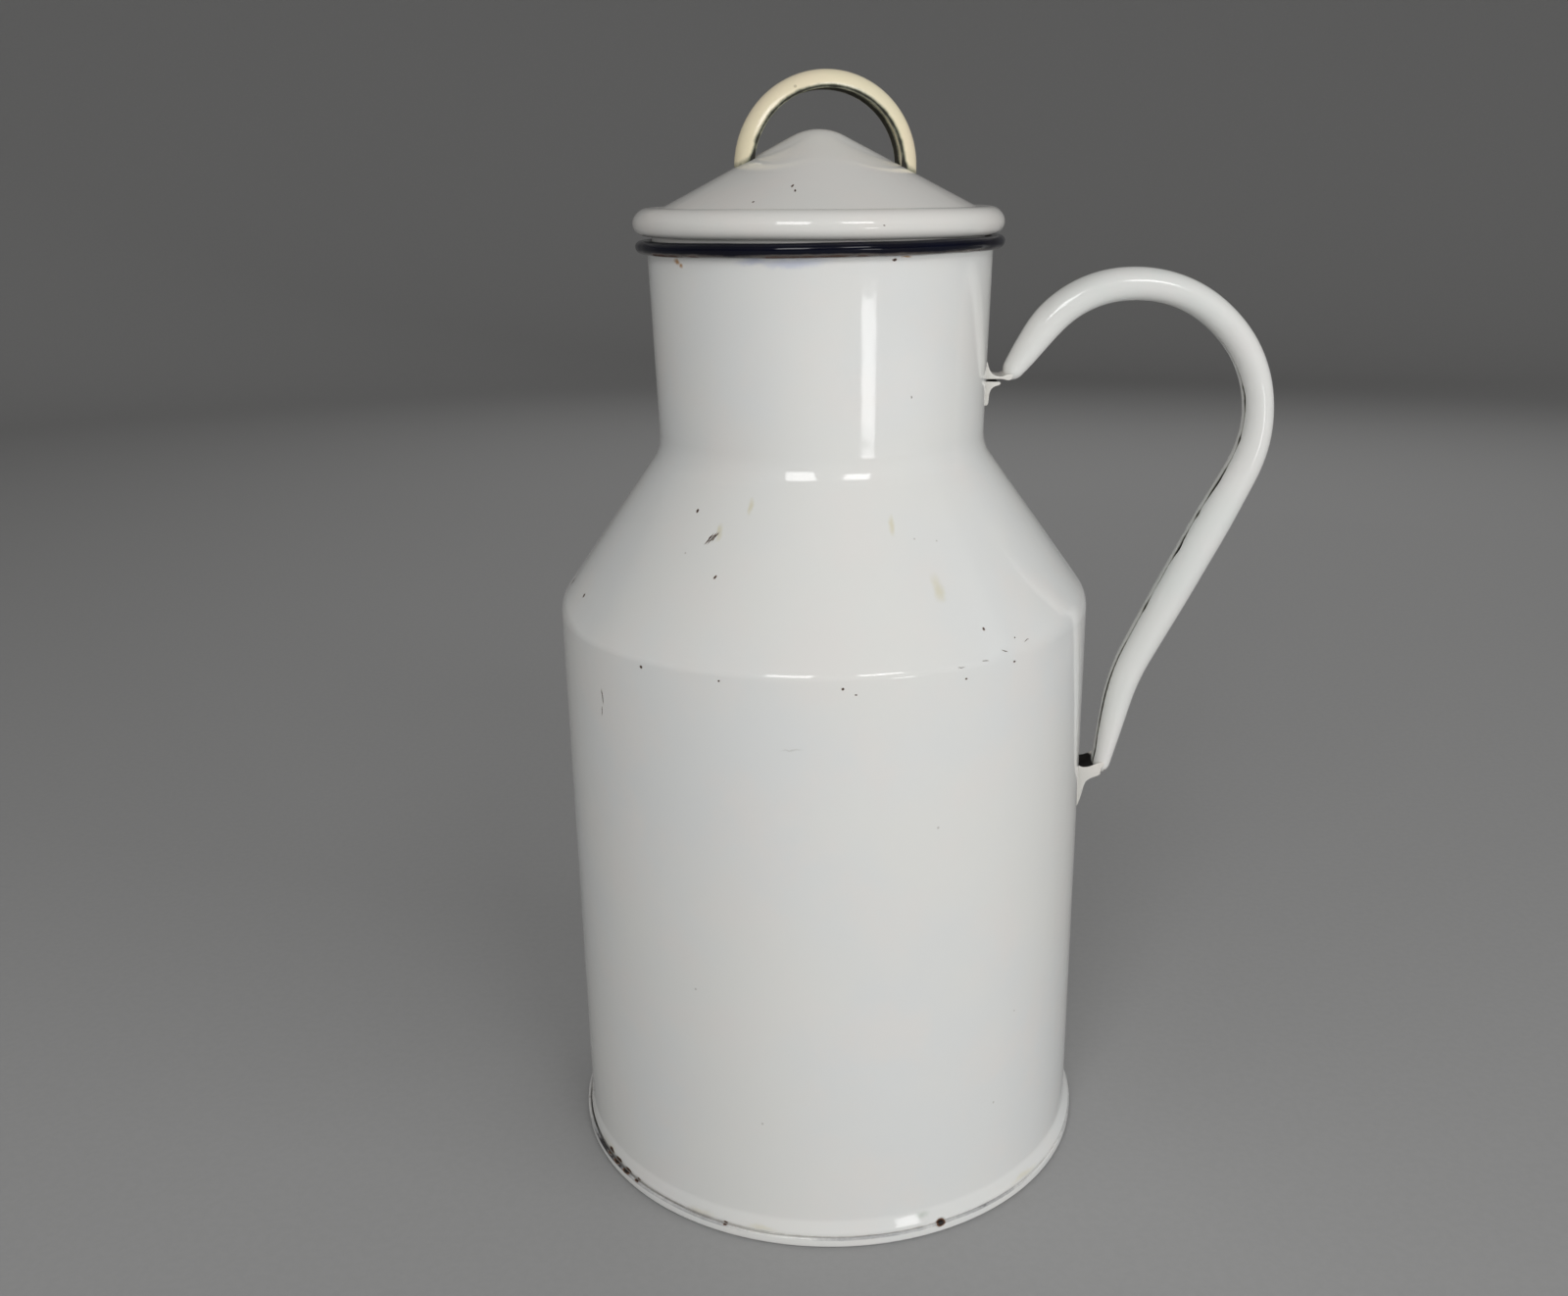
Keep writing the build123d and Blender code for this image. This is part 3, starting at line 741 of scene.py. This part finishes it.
def makeGrip(material):
    # a section of two rounded halves, where the powers of the two shares of its half sizes add up to one, carried
    # along the line; it narrows to both ends, and has a seam, open here and there, on its inner side
    s = grip
    line = longerGrip()
    outwards = leftOf(line)
    gone = travelled(line)
    part = gone / gone[-1]
    fromEnd = np.clip(np.minimum(gone, gone[-1] - gone) / (s["cap"] * mm), 0, 1)
    cap = np.sqrt(np.clip(1 - (1 - fromEnd) ** 2, s["capLeast"], 1))
    halfWide = np.interp(part, *zip(*s["widths"])) / 2 * mm * (s["endWide"] + (1 - s["endWide"]) * cap)
    halfDeep = softened(np.interp(part, *zip(*s["depths"]))[:, None], s["soft"])[:, 0] / 2 * mm * cap
    seam = s["seam"] * (1 + s["seamWaver"] * np.sin(part * s["seamWaves"]))
    seam = seam + sum(more * hill(part, at, wide) for at, wide, more in s["gapes"])
    start = np.arcsin(np.clip(seam * mm / 2 / halfWide, *s["seamLimits"]))
    past = start[:, None] + np.linspace(0, 1, s["around"]) * (2 * np.pi - 2 * start[:, None])
    turn = past + math.radians(s["seamTurn"])
    across, inwards = np.sin(turn), np.cos(turn)
    power = s["outerPower"] + (s["innerPower"] - s["outerPower"]) * ease(inwards)
    size = (np.abs(across) ** power + np.abs(inwards) ** power) ** (-1 / power)
    rings = []
    halves = (halfWide, halfDeep)
    for inset in (0, s["sheet"] * mm):
        wide, deep = (np.maximum(half - inset, half * s["hollowLeast"])[:, None] for half in halves)
        rings.append((across * size * wide, -inwards * size * deep))
    y, offset = (np.concatenate([skin, hollow[:, ::-1]], axis=1) for skin, hollow in zip(*rings))
    x = line[:, 0][:, None] + outwards[:, 0][:, None] * offset
    z = line[:, 1][:, None] + outwards[:, 1][:, None] * offset
    nearSeam = np.minimum(past, 2 * np.pi - past) * halfWide[:, None]
    # painted shade: a greenish-grey band along both lips of the seam and a near-black inside; round the openings,
    # chips darken it further
    lip = hill(np.concatenate([nearSeam, nearSeam[:, ::-1]], axis=1), 0, s["lipWide"] * mm)
    gape = sum(hill(part, at, wide * s["gapeSpread"]) for at, wide, _ in s["gapes"][:-1])[:, None]
    inner = np.r_[np.zeros(s["around"]), np.ones(s["around"])][None, :]
    wearAndShade = lip * (s["lipShade"] + s["gapeWear"] * gape) + s["hollowShade"] * inner
    wearAndShade = wearAndShade + s["endWear"] * hill(gone[-1] - gone, 0, s["endLong"] * mm)[:, None]
    shape = closed(np.stack([x, y, z], axis=-1), "flat")
    makePiece("grip", shape, "pail", "grip_tube", material, wearAndShade, sharp=s["sharp"])


bracket = {"rows": 33, "width": 14.0, "edge": 0.35, "step": 0.35, "soft": 2,
           "liftFrom": 0.62, "liftOver": 0.3, "liftAway": 0.2, "sharp": 55}


def slab(outline, width, wallRadius, hugUntil, lift=0.0, liftAbove=0.0):
    # a closed side outline spread across Y: its long edges rounded, its wall side bent round the wall,
    # and what lies away from the wall raised along both edges
    s = bracket
    line = evenly(np.vstack([outline, outline[:1]]), s["step"] * mm)[:-1]
    more = s["soft"] + 1
    smooth = softened(np.vstack([line[-more:], line, line[:more]]), s["soft"])[more:-more]
    outwards = -leftOf(np.vstack([smooth[-1:], smooth, smooth[:1]]))[1:-1]
    across = np.sin(np.linspace(-np.pi / 2, np.pi / 2, s["rows"])) * width / 2
    edge = np.clip((np.abs(across) - width / 2 + s["edge"] * mm) / (s["edge"] * mm), 0, 1)
    inset = s["edge"] * mm * (1 - np.sqrt(1 - edge ** 2))
    x = smooth[:, 0] - inset[:, None] * outwards[:, 0]
    z = smooth[:, 1] - inset[:, None] * outwards[:, 1]
    y = across[:, None] + 0 * x
    away = ease((x - wallRadius) / hugUntil)
    x = x - (wallRadius - np.sqrt(wallRadius ** 2 - y ** 2)) * (1 - away)
    side = ease((np.abs(y) / (width / 2) - s["liftFrom"]) / s["liftOver"])
    z = z + lift * side * ease(away / s["liftAway"]) * (z > liftAbove)
    return closed(np.stack([x, y, z], axis=-1), "flat")


upper = {
    "drop": 0.75, "hug": 5.0, "tongueShare": 0.94,
    "tongue": [(-0.6, -0.9), (5.6, -0.9), (7.6, -1.5), (9.0, -1.2), (9.4, 0.6), (7.4, 0.9), (5.8, 0.05),
               (4.4, 0.0), (2.8, 0.35), (1.5, 1.6), (0.7, 3.6), (0.3, 5.6), (-0.6, 5.6)],
    "leaf": [(-0.6, -2.05), (4.6, -2.05), (4.8, -2.3), (4.6, -2.6), (3.0, -2.95), (1.7, -3.8), (1.0, -5.2),
             (0.7, -7.0), (0.6, -9.0), (0.55, -9.9), (0.1, -10.2), (-0.6, -9.9)],
}


def makeUpperBracket(material):
    # a thin strap out from the neck into the tube's end, and under it a folded leaf, an open slot between them
    s = upper
    top = gripLine()[0][1] - s["drop"] * mm
    wall = neckOutside(top)
    width = bracket["width"] * mm
    parts = [slab(np.array([wall, top]) + np.array(s[outline]) * mm, width * share, wall, s["hug"] * mm)
             for outline, share in (("tongue", s["tongueShare"]), ("leaf", 1))]
    makePiece("upperBracket", together(parts), "pail", "upper_bracket", material, sharp=bracket["sharp"])


lower = {
    "drop": 2.4, "lip": 2.3, "hug": 3.2, "leafNarrows": 0.10, "leafFrom": 6.0, "leafLong": 9.0,
    "outline": [(-0.6, -14.6), (0.5, -14.7), (1.4, -12.6), (2.1, -9.2), (2.9, -5.2), (3.7, -3.0), (5.6, -1.7),
                (8.6, -0.6), (10.4, 0.9), (10.6, 2.6), (8.2, 2.5), (6.6, 1.6), (4.6, 0.8), (2.2, 0.6), (0.9, 1.2),
                (0.4, 2.2), (-0.6, 2.2)],
}


def makeLowerBracket(material):
    # a plate from the wall to the tube's end, its edges turned up a little, and a leaf that thins out downwards
    s = lower
    height = gripLine()[-1][1] - s["drop"] * mm
    outline = np.array([bodyRadius, height]) + np.array(s["outline"]) * mm
    shape = slab(outline, bracket["width"] * mm, bodyRadius, s["hug"] * mm, s["lip"] * mm, height)
    points = shape[0]
    points[:, 1] *= 1 - s["leafNarrows"] * ease(((height - points[:, 2]) / mm - s["leafFrom"]) / s["leafLong"])
    makePiece("lowerBracket", shape, "pail", "lower_bracket", material, sharp=bracket["sharp"])


# marks by angle, height, half width, half height and lean
wallMarks = [(-86.4, 215.4, 0.55, 0.5, 0), (-128, 216.6, 0.6, 0.6, 0), (-141, 200.5, 0.28, 2.6, 8),
             (-141.5, 195, 0.22, 1.6, -10), (-110, 216.5, 0.35, 0.3, 30), (-50, 216.8, 0.5, 0.35, 0),
             (-62, 214.6, 0.4, 0.3, 0), (-84, 213.2, 0.5, 0.3, 0), (96, 150, 0.9, 0.8, 0), (140, 60, 1.2, 1.0, 0),
             (58, 30, 1.5, 1.0, 10)]
shoulderMarks = [(-120.9, 257.0, 0.30, 2.1, -34), (-120.0, 257.4, 0.28, 2.3, -34),
                 (-119.2, 257.9, 0.26, 1.7, -34), (-128, 264.7, 0.5, 0.6, 0), (-116, 246.0, 0.42, 0.7, -30),
                 (-158, 229.7, 0.6, 0.75, 0),
                 (-172, 229.3, 0.8, 1.1, 0), (-55.5, 228.5, 0.4, 0.5, 0), (-67, 346.6, 0.8, 0.4, 0),
                 (-60, 302, 0.16, 0.5, 0), (-57.5, 219.4, 1.2, 0.12, -8), (-52.5, 221.2, 1.3, 0.12, -30),
                 (-46, 222.4, 1.2, 0.12, 10), (-63, 218.8, 1.4, 0.11, -6), (-49, 224.2, 0.25, 0.22, 0),
                 (40, 262, 1.0, 1.4, 0), (110, 310, 0.8, 0.8, 0), (165, 240, 1.2, 0.9, 0)]
stainMarks = [(-63, 243.6, 2.6, 7.0, 0), (-111, 268, 1.2, 3.2, 0), (-118, 259.5, 1.4, 3.5, 10),
              (-71, 262, 1.4, 4.5, 0)]
rustMarks = [(-141, 346.9, 2.2, 1.2, 0), (-139, 345.9, 1.3, 1.0, 0), (-63, 347.0, 2.4, 0.7, 0)]
blueMarks = [(-98, 346.4, 15.0, 2.1, 0), (-110, 346.6, 8.0, 1.6, 0)]
footMarks = [(-66, 4.4, 1.9, 1.5, 12), (-112, 4.5, 1.0, 0.5, 0), (-148.5, 5.3, 2.4, 1.1, 4),
             (-144.8, 4.9, 2.6, 1.0, 4), (-140.6, 4.6, 2.4, 0.9, 0), (-136.5, 4.5, 1.2, 0.6, 0),
             (-171, 6.4, 1.3, 2.2, 0), (-168, 5.4, 2.2, 0.8, 0), (62, 5.2, 3.4, 1.2, 0), (128, 4.8, 5.0, 1.1, 0)]
footRust = [(-172, 7.5, 5.0, 3.0, 0)]
footStains = [(-150, 6.5, 9.0, 2.2, 0), (-118, 5.6, 8.0, 1.6, 0), (-104, 5.4, 7.0, 1.4, 0),
              (-42, 6.0, 9.0, 1.6, 0)]
greenMarks = [(-70, 8.2, 3.4, 1.8, 0)]
greyMarks = [(-96, 193.8, 4.6, 0.5, 0)]
lidMarks = [(-102, 369.9, 0.38, 0.38, 0), (-100, 368.4, 0.36, 0.32, 0), (-114.5, 365.0, 0.35, 0.28, 0),
            (-72, 357.5, 0.35, 0.2, 0), (70, 372, 0.8, 0.6, 0), (160, 366, 0.7, 0.7, 0)]
stainTint = (0.66, 0.62, 0.46, 1)


def footOutside(height):
    # outside radius of the hem, in mm, and of the wall just above its lip
    return hemRadius / mm - hem["lipStep"] * (height > hem["lipTop"])


def lidSpots(rows):
    # marks on the lid, its outside radius read off the line from the tip down
    line, _ = lidLine()
    cone = line[np.argmax(line[:, 0]):][::-1] / mm
    return marksOn(lambda height: float(np.interp(-height, -cone[:, 1], cone[:, 0])), rows)


# tint, strength and marks
neckTints = [(stainTint, 0.75, marksOn(outsideAt, stainMarks)),
             ((0.42, 0.22, 0.07, 1), 0.9, marksOn(outsideAt, rustMarks)),
             ((0.42, 0.46, 0.62, 1), 0.55, marksOn(outsideAt, blueMarks))]
footTints = [(stainTint, 0.5, marksOn(footOutside, footStains)),
             ((0.36, 0.20, 0.10, 1), 0.75, marksOn(footOutside, footRust)),
             ((0.42, 0.47, 0.40, 1), 0.6, marksOn(footOutside, greenMarks)),
             ((0.5, 0.5, 0.47, 1), 0.5, marksOn(outsideAt, greyMarks))]

# near-black spots: bare steel at the handle's lower end; painted shade in the slot under its upper end; and in
# the trough behind its lower end, partly bare dark metal and partly painted shade
gripTop, gripEnd = gripLine()[[0, -1], 1] / mm
gripEndX = gripLine()[-1][0] / mm
bodyAt, neckAt = bodyRadius / mm, neckOutside(gripTop * mm) / mm
gripChips = [spotAt((gripEndX + 0.9, -5.6, gripEnd - 1.4), 1.6, 0.35, deep=0.35)]
bareAndShadeSpots = [spotAt((neckAt + 3.2, 0, gripTop - 2.25), 7.8, 0.72, deep=3.9),
             spotAt((bodyAt + 4.2, 0.8, gripEnd + 0.6), 7.2, 3.3, deep=5.2),
             spotAt((bodyAt + 10.6, -6.0, gripEnd - 1.9), 0.5, 0.5, deep=0.9)]

wallEnamel = enamel("wallEnamel", {"paleWearAndShade": (0.47, 0.45, 0.42, 1)},
                    marksOn(outsideAt, wallMarks) + marksOn(footOutside, footMarks), footTints)
shoulderEnamel = enamel("shoulderEnamel", {}, marksOn(outsideAt, shoulderMarks), neckTints)
footEnamel = enamel("footEnamel", {
    "paleWearAndShade": (0.38, 0.38, 0.385, 1), "darkWearAndShade": (0.045, 0.042, 0.045, 1)},
    marksOn(footOutside, footMarks), footTints)
lidEnamel = enamel("lidEnamel", {
    "tones": [(0.72, 0.705, 0.675, 1), (0.70, 0.70, 0.67, 1), (0.73, 0.70, 0.665, 1)],
    "paleWearAndShade": (0.40, 0.36, 0.345, 1)}, lidSpots(lidMarks))
# on the handle the pale wear tone is greenish grey and the dark one near black; both also paint the shade at the
# seam and inside the tube
gripEnamel = enamel("gripEnamel", {
    "tones": [(0.77, 0.77, 0.745, 1), (0.735, 0.755, 0.73, 1), (0.78, 0.765, 0.745, 1)],
    "paleWearAndShade": (0.34, 0.34, 0.29, 1), "darkWearAndShade": (0.012, 0.009, 0.008, 1)}, gripChips)
# its steel colour is near black, so that its spots paint the shade in the slot and the trough
bracketEnamel = enamel("bracketEnamel", {
    "tones": [(0.72, 0.705, 0.665, 1), (0.62, 0.61, 0.545, 1), (0.73, 0.68, 0.635, 1)], "roughness": 0.16,
    "steel": (0.006, 0.004, 0.004, 1)}, bareAndShade=bareAndShadeSpots)
navyEnamel = enamel("navyEnamel", {
    "tones": [(0.002, 0.003, 0.011, 1), (0.002, 0.002, 0.006, 1), (0.006, 0.005, 0.009, 1)],
    "paleWearAndShade": (0.11, 0.095, 0.085, 1), "darkWearAndShade": (0.07, 0.032, 0.02, 1), "roughness": 0.08, "ior": 1.36,
    "roughSpread": 0.10, "waviness": 0.5, "halo": (0.03, 0.03, 0.035, 1)})
# its pale wear tone, greenish dark, also paints the shade inside the strap's hollow
ivoryEnamel = enamel("ivoryEnamel", {
    "tones": [(0.83, 0.74, 0.52, 1), (0.80, 0.73, 0.53, 1), (0.83, 0.71, 0.53, 1)],
    "paleWearAndShade": (0.16, 0.17, 0.12, 1), "darkWearAndShade": (0.018, 0.016, 0.010, 1), "roughness": 0.18,
    "dotShare": 0.09, "dotSize": 0.09, "halo": (0.34, 0.28, 0.19, 1), "flawShare": 0.3})
print("materials ready")


steel = {"bright": (0.35, 0.34, 0.33, 1), "rust": (0.16, 0.07, 0.035, 1), "rustScale": 120.0,
         "rustEdges": (0.52, 0.68), "metal": (0.2, 0.8, 0.9, 0.1), "roughScale": 400.0,
         "rough": (0.3, 0.7, 0.35, 0.6)}


def steelWire(s):
    # drawn steel wire with fine scratches and a little rust
    nodes = NodeSet("steelWire")
    rust = nodes.span(nodes.noise(s["rustScale"], 5.0), *s["rustEdges"])
    rough = nodes.span(nodes.noise(s["roughScale"]), *s["rough"])
    nodes.feed(nodes.shader, {"Base Color": nodes.blend(rust, s["bright"], s["rust"]), "Roughness": rough,
                              "Metallic": nodes.span(rust, *s["metal"])})
    return nodes.material


makeWall(wallEnamel)
makeShoulder(shoulderEnamel)
makeBottom(footEnamel)
makeRim(navyEnamel)
makeLid(lidEnamel)
makeCollar(lidEnamel)
makeLoop(ivoryEnamel)
makeGrip(gripEnamel)
makeUpperBracket(bracketEnamel)
makeLowerBracket(bracketEnamel)
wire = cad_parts["rim_wire"]
wire.data.materials.clear()
wire.data.materials.append(steelWire(steel))
print("pieces made")


studio = {  # in metres
    "hole": 0.02, "flat": 2.4, "edge": 3.6, "wallHeight": 1.6, "rows": 30, "curveRows": 20, "columns": 96,
    "floor": (0.385, 0.385, 0.385, 1), "floorShade": 0.97, "floorScale": 300.0, "floorRough": 0.8,
    "world": (1.0, 0.985, 0.965, 1), "glow": 0.18, "middle": (0, 0, 0.24),
    # name, azimuth (0 in front, positive to the right), elevation, distance, width, height, power, mirrored
    "lamps": [
        ("leftWindow", -15, 32, 1.5, 0.46, 0.50, 4.8, True),
        ("rightWindow", 25, 34, 1.5, 0.42, 0.30, 3.0, True),
        ("broadRight", 55, 8, 2.2, 1.5, 0.5, 18.5, False),
        ("broadFront", -4, 9, 2.4, 1.6, 0.5, 8.5, False),
        ("broadLeft", -60, 11, 2.2, 1.2, 0.5, 4.5, False),
        ("behind", 165, 30, 2.0, 2.0, 1.2, 7.0, False),
    ],
    "strip": {"place": (0.646, -1.08, 0.105), "azimuth": 31.7, "width": 0.20, "height": 0.17, "power": 0.56},
}


def makeFloor(s):
    # a flat floor whose edge curves up all round
    swing = np.linspace(0, np.pi / 2, s["curveRows"])[1:]
    curved = s["flat"] + (s["edge"] - s["flat"]) * np.sin(swing)
    radius = np.r_[np.linspace(s["hole"], s["flat"], s["rows"]), curved]
    height = np.r_[np.zeros(s["rows"]), s["wallHeight"] * (1 - np.cos(swing))]
    spread, angle, up = turnedGrid(np.c_[radius, height], s["columns"])
    faces = gridFaces(len(radius), s["columns"], False).tolist() + [list(range(s["columns"]))]
    mesh = bpy.data.meshes.new("floor")
    mesh.from_pydata(roundPoints(spread, angle, up).reshape(-1, 3).tolist(), [], faces)
    mesh.shade_smooth()
    nodes = NodeSet("floorPaper")
    shade = nodes.span(nodes.noise(s["floorScale"], 2.0), 0.3, 0.7)
    darker = tuple(value * s["floorShade"] for value in s["floor"])
    nodes.feed(nodes.shader, {"Base Color": nodes.blend(shade, s["floor"], darker), "Roughness": s["floorRough"]})
    mesh.materials.append(nodes.material)
    placed("floor", mesh)


def makeLamp(name, place, towards, width, height, power, mirrored):
    # a soft rectangle at a place, lit against the given direction; only a mirrored one shows in the gloss
    towards = np.array(towards) / np.linalg.norm(towards)
    side = np.cross((0, 0, 1), towards)
    side /= np.linalg.norm(side)
    data = bpy.data.lights.new(name, "AREA")
    data.shape = "RECTANGLE"
    data.size, data.size_y, data.energy = width, height, power
    lamp = placed(name, data)
    lamp.matrix_world = standing(side, np.cross(towards, side), towards, place)
    lamp.visible_camera = False
    lamp.visible_glossy = mirrored
    return lamp


def makeStudio(s):
    # lamps stand round the middle of the pail and face it, and a faint even glow comes from all sides
    for name, azimuth, elevation, distance, width, height, power, mirrored in s["lamps"]:
        turn, lift = math.radians(azimuth), math.radians(elevation)
        towards = np.array([math.sin(turn) * math.cos(lift), -math.cos(turn) * math.cos(lift), math.sin(lift)])
        makeLamp(name, np.array(s["middle"]) + towards * distance, towards, width, height, power, mirrored)
    strip = s["strip"]
    turn = math.radians(strip["azimuth"])
    lamp = makeLamp("strip", strip["place"], (math.sin(turn), -math.cos(turn), 0),
                    strip["width"], strip["height"], strip["power"], True)
    lamp.visible_diffuse = False
    world = bpy.data.worlds.new("studio")
    world.use_nodes = True
    sky = world.node_tree.nodes["Background"]
    sky.inputs["Color"].default_value = s["world"]
    sky.inputs["Strength"].default_value = s["glow"]
    bpy.context.scene.world = world
    bpy.context.scene.view_settings.view_transform = "Standard"


makeFloor(studio)
makeStudio(studio)
print("studio ready")
